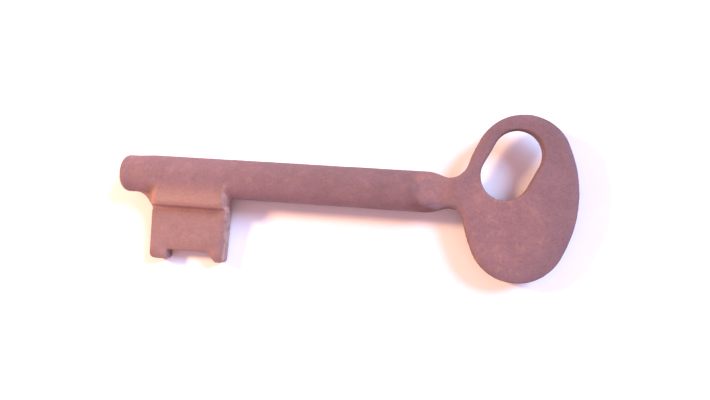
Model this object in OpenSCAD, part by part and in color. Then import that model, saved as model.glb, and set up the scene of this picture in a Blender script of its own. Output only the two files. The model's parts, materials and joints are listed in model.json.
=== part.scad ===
// Bit key of three steel pieces brazed together: a round shank, a flat oval bow whose tang sits
// in a fork in the shank's end, and a lock bit whose tongue sits in a keyway in its side.
// +X runs along the shank from the pilot to the bow, the bit points toward -Y, and +Z is the
// front of the bow. The origin is on the shank's axis, at the root of the pilot.

/* [Shank] */
// Diameter of the round shank
shank_d = 6.8; // [6.2:0.1:7.4]
// Diameter of the worn pilot in front of the bit
pilot_d = 6.4; // [5.8:0.1:6.6]
// Length of the pilot, from its rounded end to the root of the bit's front fillet
pilot_l = 2.3; // [2:0.1:6]
// Rounding of the pilot's end
pilot_round = 0.7; // [0.6:0.1:1.4]
// Length of the ramp filed on each cheek of the fork
ramp_l = 4.8; // [4:0.1:8]
// Depth of the fork, from the ends of its cheeks
fork_l = 8.5; // [6:0.1:12]

/* [Bow] */
// Distance from the origin to the middle of the bow
bow_x = 65.2; // [56:0.1:90]
// Distance from the shank's axis to the middle of the bow, toward the bit
bow_drop = 0.2; // [0:0.1:1]
// Width of the bow along the shank
bow_w = 18.2; // [17:0.1:24]
// Height of the bow across the shank
bow_h = 27.1; // [25:0.1:34]
// Radius of the bow's upper and lower ends
bow_end_r = 7.7; // [7:0.1:8.2]
// Lean of the bow's height away from the bit's side, in degrees
bow_lean = -1; // [-4:0.1:4]
// Thickness of the bow
bow_t = 2.6; // [1.8:0.1:3.4]
// Width of the neck between the shank and the bow
neck_w = 5; // [4.6:0.1:6]
// Radius where the neck sweeps up into the bow
neck_top_r = 3.4; // [2:0.1:4.5]
// Radius where the neck turns down into the bow
neck_bottom_r = 2; // [1:0.1:4.5]

/* [Eye] */
// Width of the slanted eye
eye_w = 7.9; // [6:0.1:8.4]
// Length of the slanted eye
eye_l = 11.8; // [9:0.1:12.4]
// Lean of the eye from upright, in degrees
eye_lean = 26; // [15:1:35]
// Offset of the eye's middle from the bow's middle, along the shank
eye_dx = -1.6; // [-2:0.1:0]
// Offset of the eye's middle from the bow's middle, away from the bit
eye_dy = 5.3; // [4.5:0.1:6]

/* [Bit] */
// Distance from the origin to the bit's front edge, and radius of the fillet there
bit_x = 2.9; // [2:0.1:4]
// Length of the bit's root along the shank
bit_root_l = 13.7; // [12:0.1:16]
// Length of the bit's end along the shank
bit_end_l = 13.4; // [12:0.1:15]
// Reach of the bit's feet from the shank's axis
bit_reach = 14.55; // [12.5:0.05:17]
// Height of the raised pad's face above the shank's axis
pad_z = 2.3; // [1.9:0.1:2.6]
// Distance from the shank's axis to the step below the pad
pad_y = 4.9; // [4.9:0.1:6]
// How far the step below the pad slopes out on its way down to the web
step_run = 0.5; // [0:0.1:0.8]
// Bevel of the pad's front corner
pad_bevel = 1.2; // [0.3:0.1:1.4]
// Height of the web's face above the shank's axis
web_z = 0.5; // [0.2:0.1:0.9]
// Thickness of the web
web_t = 2.9; // [2.4:0.1:3.4]
// Thickness of the root, behind the pad's face
root_t = 3.5; // [2.8:0.1:3.6]
// Distance from the shank's axis to the step on the back
back_y = 5.6; // [5.4:0.1:8]
// Length of the foot at the bit's front end
front_foot = 3.1; // [2.5:0.1:4]
// Length of the foot at the bit's rear end
rear_foot = 1.5; // [1:0.1:2.5]
// Depth of the notch between the feet
notch_h = 1.7; // [1:0.1:2.4]
// Slope of the notch's rear wall, as a length along the shank
notch_flare = 1.4; // [0.4:0.1:2]

/* [Braze] */
// Slope of the braze from the shank's crown down to the pad, in degrees
crown_slope = 15; // [14:1:18]
// Radius of the fillet between the root's back and the shank
back_fillet = 1; // [0.6:0.1:1.3]
// Radius of the fillet at the bit's rear edge
rear_fillet = 1; // [0.6:0.1:1.8]
// Distance that the braze covers each ramp ahead of the bare cheek
ramp_cover = 1.6; // [0.8:0.1:2]

/* [Hidden] */
$fn = 96;
shank_r = shank_d / 2;
pilot_r = pilot_d / 2;
plate_z = bow_t / 2;
neck_y = neck_w / 2;
// The tang is thinned on both faces where the fork and the braze cover it
tang_inset = 0.3;
tang_z = plate_z - tang_inset;

// Stations along the shank: a plain neck lies between the ramps' ends and the bow's oval
plain_neck = 3.1;
ramp_end = bow_x - bow_w / 2 - plain_neck;
ramp_start = ramp_end - ramp_l;
cheek_end = ramp_end - ramp_cover;
fork_root = cheek_end - fork_l;
shoulder_x = ramp_end - 2;
neck_x = shoulder_x + 2.8;

// The tongue on the bit and the keyway in the shank
root_back = pad_z - root_t;
tongue_t = 2;
tongue_z = pad_z - root_t / 2 - tongue_t / 2;
tongue_depth = 2.1;
tongue_inset = 0.7;

past = 1;

// Lays an outline drawn in (y, z) along the shank, from x0 to x1
module along_x(x0, x1) {
    translate([x0, 0, 0])
        rotate([90, 0, 90])
            linear_extrude(height = x1 - x0)
                children();
}

// Extrudes an outline drawn in (x, z) right across the shank
module across_y(width) {
    rotate([90, 0, 0])
        linear_extrude(height = width, center = true)
            children();
}

// Extrudes an outline drawn in (x, y) from z0 to z1
module along_z(z0, z1) {
    translate([0, 0, z0])
        linear_extrude(height = z1 - z0)
            children();
}

// A round rod about the shank's axis, from x0 to x1
module rod(r, x0, x1) {
    translate([x0, 0, 0])
        rotate([0, 90, 0])
            cylinder(r = r, h = x1 - x0);
}

// ---- Bow outline ----

bow_c = [bow_x, -bow_drop];
end_c = bow_h / 2 - bow_end_r;
side_gap = bow_w / 2 - bow_end_r;
// Arcs that only touched the end circles would leave the oval no clean corners, so its sides
// are rounder by this share and cross the end circles at about four degrees
side_share = 0.985;
side_r = side_share * (end_c * end_c + side_gap * side_gap) / (2 * side_gap)
    + side_share * bow_end_r;
side_c = side_r - bow_w / 2;
band_y = end_c * side_r / norm([side_c, end_c]);

module oval() {
    for (s = [-1, 1])
        translate([0, s * end_c])
            circle(r = bow_end_r);
    intersection() {
        translate([-side_c, 0])
            circle(r = side_r, $fn = 240);
        translate([side_c, 0])
            circle(r = side_r, $fn = 240);
        square([2 * bow_w, 2 * band_y], center = true);
    }
}

// Centre of the bow's left side arc, and a fillet's centre that touches it and the neck's edge
side_arc = bow_c + side_c * [cos(bow_lean), sin(bow_lean)];
function neck_fillet_c(r, side) =
    let (y = side * (neck_y + r), dy = y - side_arc.y)
    [side_arc.x - sqrt((side_r + r) * (side_r + r) - dy * dy), y];

// Fills the corner between the neck's edge and the bow; side is 1 above the neck, -1 below it
module neck_fillet(r, side) {
    c = neck_fillet_c(r, side);
    touch = side_arc + (c - side_arc) * side_r / (side_r + r);
    difference() {
        polygon([[c.x, side * neck_y], c, touch, [touch.x + 2, 0], [c.x, 0]]);
        translate(c)
            circle(r = r);
    }
}

module eye() {
    straight = (eye_l - eye_w) / 2;
    translate(bow_c + [eye_dx, eye_dy])
        rotate(-eye_lean) {
            square([eye_w, 2 * straight], center = true);
            for (s = [-1, 1])
                translate([0, s * straight])
                    circle(r = eye_w / 2);
        }
}

// The flat plate: the oval with its eye, and the plain neck as far as the tang
module plate_outline() {
    difference() {
        union() {
            translate(bow_c)
                rotate(bow_lean)
                    oval();
            neck_fillet(neck_top_r, 1);
            neck_fillet(neck_bottom_r, -1);
            translate([neck_x, -neck_y])
                square([bow_x - bow_w / 4 - neck_x, neck_w]);
        }
        eye();
    }
}

// Full width of the shank as far as the shoulder, then narrowing to the neck
module tang_outline() {
    polygon([
        [fork_root, shank_r], [shoulder_x, shank_r], [neck_x, neck_y],
        [neck_x, -neck_y], [shoulder_x, -shank_r], [fork_root, -shank_r]
    ]);
}

module bow() {
    color([0.47, 0.34, 0.33]) {
        along_z(-plate_z, plate_z)
            plate_outline();
        intersection() {
            along_z(-plate_z, plate_z)
                tang_outline();
            rod(shank_r, ramp_end, neck_x + past);
        }
        intersection() {
            along_z(-tang_z, tang_z)
                tang_outline();
            rod(shank_r, fork_root - past, neck_x);
        }
    }
}

// ---- Shank ----

// Half section of the bar, as (radius, distance from the pilot's end)
module bar_section() {
    end = pilot_l + cheek_end;
    square([pilot_r - pilot_round, end]);
    translate([0, pilot_round])
        square([pilot_r, pilot_l - pilot_round]);
    translate([pilot_r - pilot_round, pilot_round])
        circle(r = pilot_round);
    polygon([
        [0, pilot_l], [pilot_r, pilot_l], [shank_r, pilot_l + bit_x], [shank_r, end], [0, end]
    ]);
}

// Everything in front of a plane that slopes from the crown at ramp_start to the plate at x_end
module above_ramp(x_end) {
    slope = (shank_r - plate_z) / (x_end - ramp_start);
    over = shank_r + past;
    across_y(2 * over)
        polygon([
            [ramp_start, shank_r], [ramp_start - past, shank_r + past * slope],
            [ramp_start - past, over + past], [x_end + past, over + past],
            [x_end + past, plate_z - past * slope]
        ]);
}

module front_and_back() {
    children();
    mirror([0, 0, 1])
        children();
}

// The two sides of the bar that are filed away to the neck's width
module beside_neck() {
    for (s = [-1, 1])
        along_z(-shank_r - past, shank_r + past)
            polygon([
                [shoulder_x, s * shank_r], [neck_x, s * neck_y], [bow_x, s * neck_y],
                [bow_x, s * (shank_r + past)], [shoulder_x, s * (shank_r + past)]
            ]);
}

module tongue() {
    translate([bit_x + tongue_inset, -shank_r, tongue_z])
        cube([bit_root_l - 2 * tongue_inset, tongue_depth, tongue_t]);
}

module shank() {
    color([0.45, 0.33, 0.33])
    difference() {
        translate([-pilot_l, 0, 0])
            rotate([0, 90, 0])
                rotate_extrude()
                    bar_section();
        translate([fork_root, -shank_r - past, -tang_z])
            cube([fork_l + past, shank_d + 2 * past, 2 * tang_z]);
        front_and_back()
            above_ramp(cheek_end);
        beside_neck();
        tongue();
    }
}

// ---- Bit ----

// Cutter that rounds a square outer corner at the local origin; the metal lies toward +x, +y
module round_corner(r) {
    difference() {
        translate([-past, -past])
            square(r + past);
        translate([r, r])
            circle(r = r);
    }
}

module bit_outline() {
    front_r = 0.9;
    rear_r = 0.5;
    roof = notch_h - bit_reach;
    notch_rear = bit_end_l - rear_foot;
    difference() {
        polygon([
            [bit_x, 0], [bit_x, -bit_reach], [bit_x + front_foot, -bit_reach],
            [bit_x + front_foot, roof], [bit_x + notch_rear - notch_flare, roof],
            [bit_x + notch_rear, -bit_reach], [bit_x + bit_end_l, -bit_reach],
            [bit_x + bit_root_l, -pad_y], [bit_x + bit_root_l, 0]
        ]);
        translate([bit_x, -bit_reach])
            round_corner(front_r);
        translate([bit_x + bit_end_l, -bit_reach])
            mirror([1, 0])
                round_corner(rear_r);
    }
}

// The bit seen from its end: the root and the web overlap in a Z, with a step on each face
module bit_section() {
    web_back = web_z - web_t;
    undercut = 0.2;
    polygon([
        [0, pad_z], [-pad_y, pad_z], [-pad_y - step_run, web_z], [-bit_reach, web_z],
        [-bit_reach, web_back], [-back_y, web_back], [-back_y + undercut, root_back],
        [0, root_back]
    ]);
}

// Cutter for the bevel on the pad's front corner, which runs on through the crown's braze
module pad_front_bevel() {
    across_y(4 * bit_reach)
        polygon([
            [bit_x - past, pad_z - pad_bevel - past], [bit_x - past, pad_z + past],
            [bit_x + pad_bevel + past, pad_z + past]
        ]);
}

module bit() {
    color([0.56, 0.38, 0.34]) {
        difference() {
            intersection() {
                along_x(bit_x, bit_x + bit_root_l)
                    bit_section();
                along_z(-shank_r, shank_r)
                    bit_outline();
            }
            bit_seat();
            pad_front_bevel();
        }
        tongue();
    }
}

// The shank's surface where the bit is fitted over it, with the short cone behind the pilot
module bit_seat() {
    rod(shank_r, bit_x, bit_x + bit_root_l + past);
}

// ---- Braze ----

// Flat run of braze from a tangent on the shank's crown down to the pad's face
module crown_run() {
    crown = shank_r * [-sin(crown_slope), cos(crown_slope)];
    pad_edge = crown.x - (crown.y - pad_z) / tan(crown_slope);
    difference() {
        polygon([crown, [pad_edge, pad_z], [-shank_r / 3, pad_z]]);
        circle(r = shank_r);
    }
}

// Concave fillet between the root's back face and the shank
module back_run() {
    c_z = root_back - back_fillet;
    c_y = -sqrt(pow(shank_r + back_fillet, 2) - c_z * c_z);
    touch = [c_y, c_z] * shank_r / (shank_r + back_fillet);
    difference() {
        polygon([[c_y, root_back], [c_y, c_z], touch, [-shank_r / 2, root_back]]);
        translate([c_y, c_z])
            circle(r = back_fillet);
        circle(r = shank_r);
    }
}

// Ring with a concave face round the shank: r is its radius, and it grows from x toward side
module collar(x, r, inner, side) {
    translate([x, 0, 0])
        rotate([0, side * 90, 0])
            rotate_extrude()
                difference() {
                    translate([inner, 0])
                        square(r);
                    translate([inner + r, 0])
                        circle(r = r);
                }
}

// The part of a ring that lies at the bit's edge, within the bit's section and below top_z
module at_root(x0, x1, top_z) {
    intersection() {
        children();
        along_x(x0, x1)
            bit_section();
        along_z(-shank_r, top_z)
            translate([x0, -bit_reach])
                square([x1 - x0, bit_reach]);
    }
}

module bit_braze() {
    rear_x = bit_x + bit_root_l;
    color([0.62, 0.40, 0.33]) {
        difference() {
            along_x(bit_x, rear_x)
                crown_run();
            pad_front_bevel();
        }
        along_x(bit_x, rear_x)
            back_run();
        difference() {
            at_root(0, bit_x, pad_z - pad_bevel)
                collar(0, bit_x, pilot_r, 1);
            translate([-pilot_l, 0, 0])
                rotate([0, 90, 0])
                    rotate_extrude()
                        bar_section();
        }
        at_root(rear_x, rear_x + rear_fillet, pad_z)
            collar(rear_x + rear_fillet, rear_fillet, shank_r, -1);
    }
}

module bow_braze() {
    color([0.60, 0.40, 0.34])
    front_and_back()
        difference() {
            intersection() {
                rod(shank_r, ramp_start, ramp_end);
                translate([ramp_start, -shank_r, tang_z])
                    cube([ramp_l, shank_d, shank_r]);
                union() {
                    above_ramp(cheek_end);
                    translate([cheek_end, -shank_r, 0])
                        cube([ramp_cover, shank_d, shank_r]);
                }
            }
            above_ramp(ramp_end);
            beside_neck();
        }
}

shank();
bow();
bit();
bit_braze();
bow_braze();
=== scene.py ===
import json
import math

import bmesh
import bpy
import numpy as np
from mathutils import Matrix, Vector, kdtree, noise
from mathutils.bvhtree import BVHTree


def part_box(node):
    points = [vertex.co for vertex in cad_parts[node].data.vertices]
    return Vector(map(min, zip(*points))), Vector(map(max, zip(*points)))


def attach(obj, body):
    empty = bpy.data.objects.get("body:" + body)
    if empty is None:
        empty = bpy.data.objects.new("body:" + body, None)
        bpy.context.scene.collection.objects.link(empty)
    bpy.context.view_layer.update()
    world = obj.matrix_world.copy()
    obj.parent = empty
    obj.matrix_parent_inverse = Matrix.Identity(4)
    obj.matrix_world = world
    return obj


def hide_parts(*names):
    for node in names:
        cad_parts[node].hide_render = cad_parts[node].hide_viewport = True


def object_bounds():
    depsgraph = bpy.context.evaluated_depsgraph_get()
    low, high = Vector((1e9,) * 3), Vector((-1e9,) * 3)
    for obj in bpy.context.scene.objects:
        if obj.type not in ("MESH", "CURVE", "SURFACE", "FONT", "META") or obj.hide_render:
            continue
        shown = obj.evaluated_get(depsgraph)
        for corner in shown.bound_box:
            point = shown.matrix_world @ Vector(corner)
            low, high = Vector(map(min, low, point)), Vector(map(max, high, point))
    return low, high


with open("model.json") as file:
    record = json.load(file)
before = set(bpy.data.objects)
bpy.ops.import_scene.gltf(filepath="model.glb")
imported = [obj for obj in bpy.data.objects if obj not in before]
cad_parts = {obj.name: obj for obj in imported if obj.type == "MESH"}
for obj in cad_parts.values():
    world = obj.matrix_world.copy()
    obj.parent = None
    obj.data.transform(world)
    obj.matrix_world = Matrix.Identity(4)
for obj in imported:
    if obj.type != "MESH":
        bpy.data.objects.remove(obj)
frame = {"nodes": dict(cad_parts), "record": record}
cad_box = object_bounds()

MM = 0.001


# ---- Meshes ----
# The five CAD nodes are first fused into one skin of small even faces, in millimetres, and that
# skin is worn: edges rounded, the rims of the bit and of the bow rubbed down, the metal pitted.
# Each piece is then its own node's mesh, rebuilt from even faces, with its outside laid onto the
# worn skin, so that brazed pieces run into each other without a step.

# Face sizes, in millimetres
SKIN_FACE = 0.13
BIT_FACE = 0.11
BRAZE_FACE = 0.07

# How deep each rim is rubbed down, and how far in from its edge, in millimetres
WEB_LOWER_RIM = {"depth": 0.32, "reach": 2.2}
WEB_REAR_RIM = {"depth": 0.35, "reach": 1.1}
BOW_RIM = {"depth": 0.22, "reach": 1.3}

# A point is on an edge face, not a broad one, where its normal's z is under EDGE_TILT. It is on
# the bit's end or rear where its normal's share that way is over STRAIGHT.
EDGE_TILT = 0.3
STRAIGHT = 0.9

# Half sizes of the two places that are smoothed further, in millimetres. The extra smoothing is
# full within the first share of them, and gone at the second. The step under the pad lies at
# STEP_SHARE of the bit's reach.
STEP_SHARE = 0.355
STEP_HALF = (9, 0.9, 1.6)
RAMP_END_HALF = (2.5, 4, 4)
SOFT_FADE = (0.8, 1.3)

# Rounds of smoothing
EDGE_ROUNDS = 14
SOFT_ROUNDS = 44
RELIEF_ROUNDS = 40
PIECE_ROUNDS = 2
LAID_ROUNDS = 1

# Waves and pits in the metal, in millimetres. A pit deepens as its noise goes through PIT_RANGE.
WAVE_HEIGHT = 0.03
WAVE_SIZE = 3.2
PIT_DEPTH = 0.02
PIT_SIZE = 0.55
PIT_RANGE = (0.05, 0.5)

# How each octave of the noise differs from the one before, and how far a seed moves it
OCTAVE_FALL = 1.0
OCTAVE_STEP = 2.0
SEED_SHIFT = Vector((17.3, 5.1, 29.7))

# How a piece meets the skin, in millimetres: a braze's edges lap under its neighbours, the braze
# lies just above them, and faces inside the key sink just under the skin where it has worn away
LAP = 0.10
LIFT = 0.012
SINK = 0.04

# A point starts to follow the skin as its normal's share along the skin's goes through OUTWARD,
# and stops as its distance from the skin, in millimetres, goes through OUT_OF_REACH
OUTWARD = (0.1, 0.4)
OUT_OF_REACH = (0.9, 1.35)


def box_mm(node):
    """A CAD node's lowest and highest corners, in millimetres."""
    return [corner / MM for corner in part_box(node)]


def place(name, data):
    item = bpy.data.objects.new(name, data)
    bpy.context.scene.collection.objects.link(item)
    return item


def even_mesh(name, nodes, face_size):
    """The CAD nodes together in millimetres, as a mesh of even faces of that size."""
    together = bmesh.new()
    for node in nodes:
        together.from_mesh(frame["nodes"][node].data)
    source_mesh = bpy.data.meshes.new(name + "_source")
    together.to_mesh(source_mesh)
    together.free()
    source_mesh.transform(Matrix.Scale(1 / MM, 4))
    source = place(name + "_source", source_mesh)
    remesh = source.modifiers.new("even_faces", "REMESH")
    remesh.mode = "VOXEL"
    remesh.voxel_size = face_size
    depsgraph = bpy.context.evaluated_depsgraph_get()
    even = bpy.data.meshes.new_from_object(source.evaluated_get(depsgraph))
    bpy.data.objects.remove(source)
    even.name = name
    even.materials.clear()
    return even


def points(mesh):
    co = np.empty(len(mesh.vertices) * 3)
    mesh.vertices.foreach_get("co", co)
    return co.reshape(-1, 3)


def normals(mesh):
    directions = np.empty(len(mesh.vertices) * 3)
    mesh.vertex_normals.foreach_get("vector", directions)
    return directions.reshape(-1, 3)


def set_points(mesh, co):
    mesh.vertices.foreach_set("co", co.ravel())
    mesh.update()


def smoothed(mesh, co, rounds):
    """co after each point has moved halfway to the mean of its neighbours, rounds times."""
    ends = np.empty(len(mesh.edges) * 2, np.int64)
    mesh.edges.foreach_get("vertices", ends)
    a, b = ends[0::2], ends[1::2]
    count = len(co)
    neighbours = np.bincount(a, minlength=count) + np.bincount(b, minlength=count)
    for _ in range(rounds):
        total = np.empty_like(co)
        for axis in range(3):
            total[:, axis] = np.bincount(a, co[b, axis], count) + np.bincount(b, co[a, axis], count)
        co = (co + total / neighbours[:, None]) / 2
    return co


def smoothstep(low, high, value):
    t = np.clip((value - low) / (high - low), 0, 1)
    return t * t * (3 - 2 * t)


def grain(co, size, octaves, seed):
    """Smooth noise from about -1 to 1 at each point, with features of that size in millimetres."""
    shift = SEED_SHIFT * seed
    spots = (Vector(p) / size + shift for p in co)
    return np.array([noise.fractal(spot, OCTAVE_FALL, OCTAVE_STEP, octaves) for spot in spots])


def rub_rim(co, facing, part, edge, depth, reach):
    """Wears the broad faces of a flat part down, over that reach, toward its edge faces."""
    edge = np.flatnonzero(part & edge & (abs(facing[:, 2]) < EDGE_TILT))
    tree = kdtree.KDTree(len(edge))
    for index in edge:
        tree.insert((co[index, 0], co[index, 1], 0), int(index))
    tree.balance()
    for index in np.flatnonzero(part & (abs(facing[:, 2]) > EDGE_TILT)):
        far = tree.find((co[index, 0], co[index, 1], 0))[2]
        co[index, 2] -= np.sign(facing[index, 2]) * depth * max(0, 1 - far / reach) ** 2


def rub_rims(mesh):
    """Wears the rims of the web's front face and of both faces of the bow."""
    co, facing = points(mesh), normals(mesh)
    margin = 1
    low, high = box_mm("bit")
    middle = (low + high) / 2
    web_front = (co[:, 0] < high.x + margin) & (co[:, 1] < low.y / 2) & (facing[:, 2] > -EDGE_TILT)
    end = (facing[:, 1] < -STRAIGHT) & (co[:, 1] < middle.y)
    rear = (facing[:, 0] > STRAIGHT) & (co[:, 0] > middle.x)
    rub_rim(co, facing, web_front, end, **WEB_LOWER_RIM)
    rub_rim(co, facing, web_front, rear, **WEB_REAR_RIM)
    neck = box_mm("bow_braze")[1].x + margin
    eye = next(m for m in frame["record"]["mounts"] if m["name"] == "eye")["pos_m"]
    outward = ((co - np.array(eye) / MM) * facing)[:, :2].sum(1) > 0
    rub_rim(co, facing, co[:, 0] > neck, outward, **BOW_RIM)
    set_points(mesh, co)


def soften(mesh, co, spots, rounds):
    """Smooths the points near each spot further: (x, y, z) with its half sizes, in millimetres."""
    soft = smoothed(mesh, co, rounds)
    share = np.zeros(len(co))
    for spot, half in spots:
        far = np.abs((co - np.array(spot)) / np.array(half)).max(1)
        share = np.maximum(share, 1 - smoothstep(*SOFT_FADE, far))
    return co + share[:, None] * (soft - co)


def worn_skin():
    """The fused skin as a search tree, with each face's smooth normal, and how far it stands out
    in millimetres."""
    mesh = even_mesh("skin", frame["nodes"], SKIN_FACE)
    rub_rims(mesh)
    co = smoothed(mesh, points(mesh), EDGE_ROUNDS)
    low, high = box_mm("bit")
    step = ((low.x + high.x) / 2, low.y * STEP_SHARE, high.z / 2), STEP_HALF
    ramp_end = (box_mm("bow_braze")[1].x, 0, 0), RAMP_END_HALF
    co = soften(mesh, co, (step, ramp_end), SOFT_ROUNDS)
    set_points(mesh, co)
    waves = WAVE_HEIGHT * grain(co, WAVE_SIZE, octaves=2, seed=1)
    pits = PIT_DEPTH * smoothstep(*PIT_RANGE, grain(co, PIT_SIZE, octaves=3, seed=2))
    co = co + (waves - pits)[:, None] * normals(mesh)
    set_points(mesh, co)
    up = normals(mesh)
    stand_out = ((co - smoothed(mesh, co, RELIEF_ROUNDS)) * up).sum(1)
    faces = [tuple(face.vertices) for face in mesh.polygons]
    relief = np.array([stand_out[list(face)].mean() for face in faces])
    smooth_up = np.array([up[list(face)].mean(0) for face in faces])
    tree = BVHTree.FromPolygons([Vector(p) for p in co], faces)
    bpy.data.meshes.remove(mesh)
    return tree, smooth_up, relief


def lay_on_skin(co, facing, skin, lift):
    """Moves the points that face outward onto the skin. Gives the share by which each point
    follows it, and the skin's smooth normal and relief there."""
    tree, smooth_up, relief = skin
    shares = np.zeros(len(co))
    skin_up = np.zeros_like(co)
    stand_out = np.zeros(len(co), np.float32)
    for index in range(len(co)):
        spot, up, face, gap = tree.find_nearest(Vector(co[index]))
        spot, up = np.array(spot), np.array(up)
        share = smoothstep(*OUTWARD, facing[index] @ up) * (1 - smoothstep(*OUT_OF_REACH, gap))
        if (co[index] - spot) @ up > 0:
            # Worn away: onto the skin, or just under it where the face doesn't look outward
            co[index] = spot + (lift * share - SINK * (1 - share)) * up
        else:
            co[index] += share * (spot + lift * up - co[index])
        shares[index] = share
        skin_up[index] = smooth_up[face]
        stand_out[index] = relief[face]
    return shares, skin_up, stand_out


def worn_piece(name, node, face_size, skin, lap, lift):
    """The CAD node with its outside laid onto the worn skin, kept inside the CAD box, and shaded
    as the skin."""
    mesh = even_mesh(name, [node], face_size)
    co = smoothed(mesh, points(mesh), PIECE_ROUNDS)
    set_points(mesh, co)
    facing = normals(mesh)
    co = co + lap * facing
    shares, skin_up, stand_out = lay_on_skin(co, facing, skin, lift)
    lowest, highest = (np.array(corner) / MM for corner in cad_box)
    co = np.clip(smoothed(mesh, co, LAID_ROUNDS), lowest, highest)
    set_points(mesh, co * MM)
    mesh.attributes.new("relief", "FLOAT", "POINT").data.foreach_set("value", stand_out)
    mesh.polygons.foreach_set("use_smooth", [True] * len(mesh.polygons))
    own_up = normals(mesh)
    shading = own_up + shares[:, None] * (skin_up - own_up)
    mesh.normals_split_custom_set_from_vertices(shading.tolist())
    return place(name, mesh)


def finish_piece(piece, material, node):
    piece.data.materials.append(material)
    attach(piece, "root")
    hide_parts(node)


# ---- Materials ----

# Base colours, linear
BROWN = (0.179, 0.104, 0.104)
BROWN_RUST = (0.243, 0.135, 0.117)
# Painted light: the shank's lower side is painted paler, lifting its shade
PAINTED_LIGHT_LOW_SIDE = (0.262, 0.164, 0.178)
BOW_BROWN = (0.213, 0.130, 0.138)
BOW_RUSTY = (0.245, 0.139, 0.141)
BOW_RUST = (0.300, 0.170, 0.140)
# The ramps' warm tone, painted lighter as painted light
RAMP_TONE_AND_LIGHT = (0.321, 0.155, 0.122)
WARM = (0.232, 0.136, 0.121)
WARM_RUST = (0.275, 0.155, 0.124)
# A lighter colour on the pad, and painted light on the bit's rear face
PALE_PAD_AND_LIT_REAR = (0.335, 0.205, 0.164)

# The bow's rusty patch, in millimetres: its middle, from the bow's far end and from its lower
# edge, and its radius
RUSTY_FROM_END = 12.5
RUSTY_FROM_LOW = 8.8
RUSTY_RADIUS = 9.0

# Where the painted light on the step under the pad begins, is full, begins to end and has ended,
# along y in millimetres
STEP_BAND = (-6.0, -5.5, -5.0, -4.6)

# The colour is multiplied by BRIGHTNESS plus what each of these adds. A pair is what it adds at one
# end of its range and at the other.
BRIGHTNESS = 0.99
CLOUDS = (-0.05, 0.05)
SPECKS = (0.04, -0.13)
WORN_EDGE = (0.1, 0.3)
# Painted shade in creases off the bit, and painted light lifting the creases' shade on the bit
CREASE_SHADE_OFF_BIT = -0.30
CREASE_LIGHT_ON_BIT = 0.10
# Painted shade, deepening along the shank from the bit toward the ramps
SHADE_TOWARD_RAMPS = -0.15
# Painted light on the bit's rear face
BIT_REAR_PAINTED_LIGHT = 0.16
BOW_TOP = -0.08
# Painted light, lifting the shade under the step below the pad
STEP_PAINTED_LIGHT = 0.6

# On the bow, edges get painted shade instead of the lighter wear, by this share of WORN_EDGE
BOW_EDGE_SHADE = -0.7

# Size and depth of each layer of surface grain, in millimetres
GRAIN_LAYERS = ((0.42, 0.03), (0.12, 0.01))
GRAIN_STRENGTH = 0.6
METAL_ROUGHNESS = (0.62, 0.85)
METAL_SPECULAR = 0.3

# How far places wander: the size of the noise, and the millimetres for each unit of it
WANDER_SIZE = 1.6
WANDER = 1.6


class Nodes:
    """A material's node tree, with short calls for the nodes that the finishes share."""

    def __init__(self, name):
        self.material = bpy.data.materials.new(name)
        self.material.use_nodes = True
        self.tree = self.material.node_tree
        self.shader = self.tree.nodes["Principled BSDF"]
        self.place = self.add("ShaderNodeTexCoord").outputs["Object"]

    def add(self, kind, **settings):
        node = self.tree.nodes.new(kind)
        for key, value in settings.items():
            setattr(node, key, value)
        return node

    def link(self, source, socket):
        self.tree.links.new(source, socket)

    def noise(self, size_mm, detail=4.0, roughness=0.6, distortion=0.0):
        node = self.add("ShaderNodeTexNoise")
        self.link(self.place, node.inputs["Vector"])
        node.inputs["Scale"].default_value = 1 / (size_mm * MM)
        node.inputs["Detail"].default_value = detail
        node.inputs["Roughness"].default_value = roughness
        node.inputs["Distortion"].default_value = distortion
        return node.outputs["Fac"]

    def span(self, value, low, high, to_low=0.0, to_high=1.0):
        """Runs smoothly from to_low to to_high as the value goes from low to high."""
        node = self.add("ShaderNodeMapRange", interpolation_type="SMOOTHSTEP")
        self.link(value, node.inputs["Value"])
        for key, number in (
            ("From Min", low),
            ("From Max", high),
            ("To Min", to_low),
            ("To Max", to_high),
        ):
            node.inputs[key].default_value = number
        return node.outputs["Result"]

    def band(self, value, begin, full, end, gone):
        """1 from full to end, fading to 0 at begin and at gone."""
        return self.product(self.span(value, begin, full), self.span(value, gone, end))

    def math(self, operation, a, b):
        node = self.add("ShaderNodeMath", operation=operation)
        for value, socket in ((a, node.inputs[0]), (b, node.inputs[1])):
            if isinstance(value, float):
                socket.default_value = value
            else:
                self.link(value, socket)
        return node.outputs["Value"]

    def product(self, result, *others):
        for other in others:
            result = self.math("MULTIPLY", result, other)
        return result

    def total(self, result, *others):
        for other in others:
            result = self.math("ADD", result, other)
        return result

    def mix(self, share, a, b):
        """Colour a where share is 0, and b where it is 1. A colour is a socket or a triple."""
        node = self.add("ShaderNodeMix", data_type="RGBA")
        self.link(share, node.inputs["Factor"])
        for key, colour in (("A", a), ("B", b)):
            socket = next(s for s in node.inputs if s.name == key and s.type == "RGBA")
            if isinstance(colour, tuple):
                socket.default_value = (*colour, 1)
            else:
                self.link(colour, socket)
        return next(s for s in node.outputs if s.type == "RGBA")

    def relief(self):
        return self.add("ShaderNodeAttribute", attribute_name="relief").outputs["Fac"]

    def exact(self):
        """The row frame's x, y and z in millimetres."""
        split = self.add("ShaderNodeSeparateXYZ")
        self.link(self.place, split.inputs[0])
        return [self.math("DIVIDE", c, MM) for c in split.outputs]

    def wandering(self):
        """The row frame's x, y and z, each wandering by up to half a millimetre."""
        drift = self.math("SUBTRACT", self.noise(WANDER_SIZE, detail=3.0), 0.5)
        drift = self.product(drift, WANDER)
        return [self.total(c, drift) for c in self.exact()]


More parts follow.
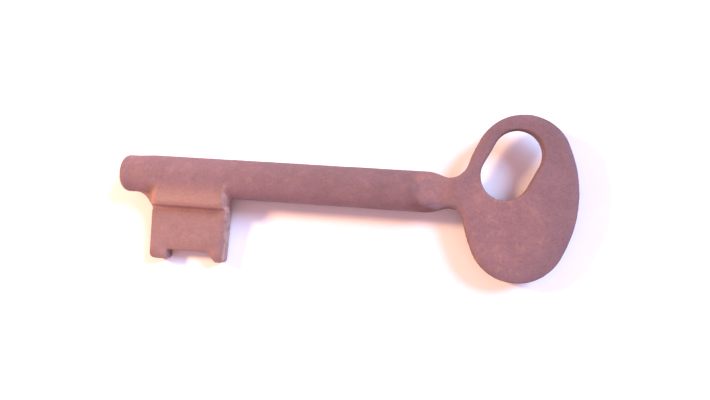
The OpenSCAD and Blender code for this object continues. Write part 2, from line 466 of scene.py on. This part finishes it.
def tone_places(nodes):
    """Where each tone, painted light and painted shade lies on the key, as shares from 0 to 1.
    Distances are in millimetres.
    """
    x, y, z = nodes.wandering()
    low, high = box_mm("bit")
    ramp_low, ramp_high = box_mm("bow_braze")
    bow_low, bow_high = box_mm("bow")
    bit = nodes.product(
        nodes.band(x, low.x - 1.5, low.x + 0.5, high.x, high.x + 1),
        nodes.span(y, -0.3, -2.6),
    )
    # A lighter colour on the pad, most toward its step
    pad = nodes.product(
        nodes.span(z, high.z - 1.1, high.z - 0.4),
        nodes.span(y, -1.5, -4.0, 0.2, 0.8),
    )
    # The bit's rear face, where light is painted on
    rear = nodes.span(x, high.x - 0.6, high.x + 0.1)
    # Painted light on the ramps: most along their middle, least on their lower side
    ramp = nodes.product(
        nodes.band(x, ramp_low.x - 0.5, ramp_low.x + 1.8, ramp_high.x - 1.5, ramp_high.x + 3),
        nodes.span(y, -2.4, -0.6, 0.1, 1.0),
        nodes.span(y, 3.2, 1.8, 0.4, 1.0),
    )
    # Painted light on the shank's lower side
    painted_light_low_side = nodes.product(
        nodes.span(y, 0.8, -2.6),
        nodes.span(z, 0.2, 1.2),
        nodes.span(x, ramp_low.x + 1.5, ramp_low.x - 1.5),
    )
    # Squared distance from the middle of the bow's rusty patch, with the patch's radius as 1
    across = nodes.math("SUBTRACT", x, bow_high.x - RUSTY_FROM_END)
    across = nodes.math("DIVIDE", across, RUSTY_RADIUS)
    down = nodes.math("SUBTRACT", y, bow_low.y + RUSTY_FROM_LOW)
    down = nodes.math("DIVIDE", down, RUSTY_RADIUS)
    far = nodes.total(nodes.product(across, across), nodes.product(down, down))
    return {
        "bit": bit,
        "bit_rear_painted_light": nodes.product(bit, rear),
        "pale_pad_and_lit_rear": nodes.product(bit, nodes.math("MAXIMUM", pad, rear)),
        # Painted light under the step below the pad
        "step": nodes.product(nodes.band(nodes.exact()[1], *STEP_BAND), bit),
        "toward_ramps": nodes.span(x, 2.0, ramp_low.x),
        "ramp": ramp,
        "painted_light_low_side": painted_light_low_side,
        "bow": nodes.span(x, ramp_high.x, ramp_high.x + 4),
        "bow_top": nodes.span(y, 4.0, 11.0),
        "rusty": nodes.span(far, 1.2, 0.3),
    }


def tone(nodes, on, rust_amount):
    """The patina's colour by place, with blotches of rust, and painted light low on the shank, on
    the ramps and on the bit's rear edge. There are fewer blotches low on the shank, and fewer on
    the bow away from its rusty patch."""
    base = nodes.mix(on["painted_light_low_side"], BROWN, PAINTED_LIGHT_LOW_SIDE)
    base = nodes.mix(on["bow"], base, nodes.mix(on["rusty"], BOW_BROWN, BOW_RUSTY))
    base = nodes.mix(on["ramp"], nodes.mix(on["bit"], base, WARM), RAMP_TONE_AND_LIGHT)
    rust = nodes.mix(on["bit"], nodes.mix(on["bow"], BROWN_RUST, BOW_RUST), WARM_RUST)
    smooth_bow = nodes.product(on["bow"], nodes.span(on["rusty"], 0.0, 1.0, 0.8, 0.0))
    blotches = nodes.product(
        nodes.span(nodes.noise(1.5, roughness=0.55, distortion=0.4), 0.46, 0.70, 0.0, rust_amount),
        nodes.span(on["painted_light_low_side"], 0.0, 1.0, 1.0, 0.3),
        nodes.math("SUBTRACT", 1.0, smooth_bow),
    )
    return nodes.mix(on["pale_pad_and_lit_rear"], nodes.mix(blotches, base, rust), PALE_PAD_AND_LIT_REAR)


def brightness(nodes, on):
    """What the colour is multiplied by: clouds, specks, lighter worn edges, painted shade on the
    bow's edges, in creases and toward the ramps, painted light in the bit's creases, on its rear
    edge and under the step, and darker at the bow's top.
    """
    # Lighter worn edges, with painted shade on the bow's edges instead
    worn = nodes.product(
        nodes.span(nodes.relief(), 0.05, 0.20),
        nodes.span(nodes.noise(0.9), 0.3, 0.6, *WORN_EDGE),
        nodes.span(on["bow"], 0.0, 1.0, 1.0, BOW_EDGE_SHADE),
    )
    # Painted shade in creases, and painted light lifting it on the bit
    crease_shade_and_light = nodes.product(
        nodes.span(nodes.relief(), -0.02, -0.14),
        nodes.span(on["bit"], 0.0, 1.0, CREASE_SHADE_OFF_BIT, CREASE_LIGHT_ON_BIT),
    )
    return nodes.total(
        nodes.span(nodes.noise(4.5, detail=3.0), 0.32, 0.68, *CLOUDS),
        nodes.span(nodes.noise(0.30), 0.40, 0.75, *SPECKS),
        worn,
        crease_shade_and_light,
        nodes.product(on["toward_ramps"], SHADE_TOWARD_RAMPS),
        nodes.product(on["bit_rear_painted_light"], BIT_REAR_PAINTED_LIGHT),
        nodes.product(on["bow"], on["bow_top"], BOW_TOP),
        nodes.product(on["step"], STEP_PAINTED_LIGHT),
        BRIGHTNESS,
    )


def grain_bump(nodes):
    """The normals of the layers of surface grain, each on top of the one before."""
    bump = None
    for size_mm, depth_mm in GRAIN_LAYERS:
        layer = nodes.add("ShaderNodeBump")
        layer.inputs["Strength"].default_value = GRAIN_STRENGTH
        layer.inputs["Distance"].default_value = depth_mm * MM
        nodes.link(nodes.noise(size_mm, detail=6.0, roughness=0.65), layer.inputs["Height"])
        if bump is not None:
            nodes.link(bump, layer.inputs["Normal"])
        bump = layer.outputs["Normal"]
    return bump


def patina(name, rust_amount):
    """Old steel or braze under a matt brown rust patina, with painted light and shade. The tones
    follow places on the key, so that they run on from piece to piece: warm on the bit and on the
    ramps, lighter on the pad, rusty in the middle of the bow, and painted light on the ramps, on
    the bit's rear edge and low on the shank."""
    nodes = Nodes(name)
    on = tone_places(nodes)
    lit = nodes.add("ShaderNodeHueSaturation")
    nodes.link(brightness(nodes, on), lit.inputs["Value"])
    nodes.link(tone(nodes, on, rust_amount), lit.inputs["Color"])
    nodes.link(lit.outputs["Color"], nodes.shader.inputs["Base Color"])
    roughness = nodes.span(nodes.noise(0.7, detail=5.0), 0.3, 0.7, *METAL_ROUGHNESS)
    nodes.link(roughness, nodes.shader.inputs["Roughness"])
    nodes.shader.inputs["Specular IOR Level"].default_value = METAL_SPECULAR
    nodes.link(grain_bump(nodes), nodes.shader.inputs["Normal"])
    return nodes.material


# ---- Pieces ----


def make_key():
    skin = worn_skin()
    braze = patina("braze_tarnish_and_painted_light", rust_amount=0.75)
    shank = patina("shank_patina_and_painted_light", rust_amount=0.50)
    bow = patina("bow_patina_and_painted_light", rust_amount=0.90)
    bit = patina("bit_patina_and_painted_light", rust_amount=0.60)
    # Piece, CAD node, face size, material, slot, lap, lift
    rows = (
        ("worn_shank", "shank", SKIN_FACE, shank, "shank", 0.0, 0.0),
        ("worn_bow", "bow", SKIN_FACE, bow, "bow", 0.0, 0.0),
        ("worn_bit", "bit", BIT_FACE, bit, "bit", 0.0, 0.0),
        ("bit_braze_run", "bit_braze", BRAZE_FACE, braze, "braze", LAP, LIFT),
        ("bow_braze_run", "bow_braze", BRAZE_FACE, braze, "braze", LAP, LIFT),
    )
    pieces = []
    for name, node, face_size, material, slot, lap, lift in rows:
        piece = worn_piece(name, node, face_size, skin, lap, lift)
        finish_piece(piece, material, node)
        pieces.append(piece)
    return pieces


# ---- Stage ----

# Half the paper's width, in metres, and its look
PAPER_HALF = 3.0
PAPER_DARKER = (0.84, 0.84, 0.84)
PAPER_LIGHTER = (0.87, 0.87, 0.87)
PAPER_ROUGHNESS = 0.9
PAPER_SPECULAR = 0.2

# The camera sees from 5 mm to 20 m away
CAMERA_SPOT_MM = (52.81, -1.16, 101.8)
CAMERA_TURN_DEGREES = 3.80
CAMERA_LEAN_DEGREES = 8.0
SENSOR_WIDTH_MM = 36
LENS_MM = 31.18
CLIP_START = 0.005
CLIP_END = 20

# The light that comes from all round
ROOM_COLOUR = (1.0, 0.60, 0.69, 1)
ROOM_STRENGTH = 0.85


def resting_floor(pieces):
    """Plain white paper under the shank and under the bit's lower edge, which leans the key."""
    low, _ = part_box("bit")
    shank_low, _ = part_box("shank")
    reach = math.hypot(low.y, low.z)
    tilt = math.asin(-shank_low.z / reach) - math.atan2(-low.z, -low.y)
    up = Vector((0, math.sin(tilt), math.cos(tilt)))
    depth = min((points(piece.data) @ np.array(up)).min() for piece in pieces)
    half = PAPER_HALF
    corners = [(-half, -half, 0), (half, -half, 0), (half, half, 0), (-half, half, 0)]
    mesh = bpy.data.meshes.new("paper")
    mesh.from_pydata(corners, [], [(0, 1, 2, 3)])
    floor = place("paper", mesh)
    floor.matrix_world = Matrix.Translation(up * depth) @ Matrix.Rotation(-tilt, 4, "X")
    nodes = Nodes("white_paper")
    fibres = nodes.span(nodes.noise(6.0), 0.3, 0.7)
    nodes.link(nodes.mix(fibres, PAPER_DARKER, PAPER_LIGHTER), nodes.shader.inputs["Base Color"])
    nodes.shader.inputs["Roughness"].default_value = PAPER_ROUGHNESS
    nodes.shader.inputs["Specular IOR Level"].default_value = PAPER_SPECULAR
    mesh.materials.append(nodes.material)


def far_lamp(name, toward, strength, colour, spread_degrees):
    """A distant soft lamp, which shines from the given direction."""
    data = bpy.data.lights.new(name, "SUN")
    data.energy = strength
    data.color = colour
    data.angle = math.radians(spread_degrees)
    light = place(name, data)
    light.rotation_euler = Vector(toward).to_track_quat("Z", "Y").to_euler()


def near_lamp(name, spot_mm, watts, colour, radius_mm):
    """A round lamp at that spot, near enough to light the pilot more than the bow."""
    data = bpy.data.lights.new(name, "POINT")
    data.energy = watts
    data.color = colour
    data.shadow_soft_size = radius_mm * MM
    light = place(name, data)
    light.visible_camera = False
    light.location = Vector(spot_mm) * MM


def lights():
    near_lamp(
        "warm_lamp",
        spot_mm=(-200, 86, 175),
        watts=5.5,
        colour=(1.0, 0.59, 0.33),
        radius_mm=31,
    )
    far_lamp(
        "cool_window",
        toward=(1.28, 0.97, 1.0),
        strength=5.8,
        colour=(0.42, 0.61, 0.97),
        spread_degrees=27,
    )
    world = bpy.data.worlds.new("room")
    bpy.context.scene.world = world
    world.use_nodes = True
    background = world.node_tree.nodes["Background"]
    background.inputs["Color"].default_value = ROOM_COLOUR
    background.inputs["Strength"].default_value = ROOM_STRENGTH


def camera():
    """Almost straight down from a hand's width, leaning a little and turned a little."""
    data = bpy.data.cameras.new("camera")
    data.sensor_width = SENSOR_WIDTH_MM
    data.lens = LENS_MM
    data.clip_start = CLIP_START
    data.clip_end = CLIP_END
    eye = place("camera", data)
    turn = Matrix.Rotation(math.radians(CAMERA_TURN_DEGREES), 4, "Z")
    lean = Matrix.Rotation(math.radians(CAMERA_LEAN_DEGREES), 4, "Y")
    eye.matrix_world = Matrix.Translation(Vector(CAMERA_SPOT_MM) * MM) @ turn @ lean
    bpy.context.scene.camera = eye


resting_floor(make_key())
lights()
camera()
bpy.context.scene.view_settings.view_transform = "Standard"
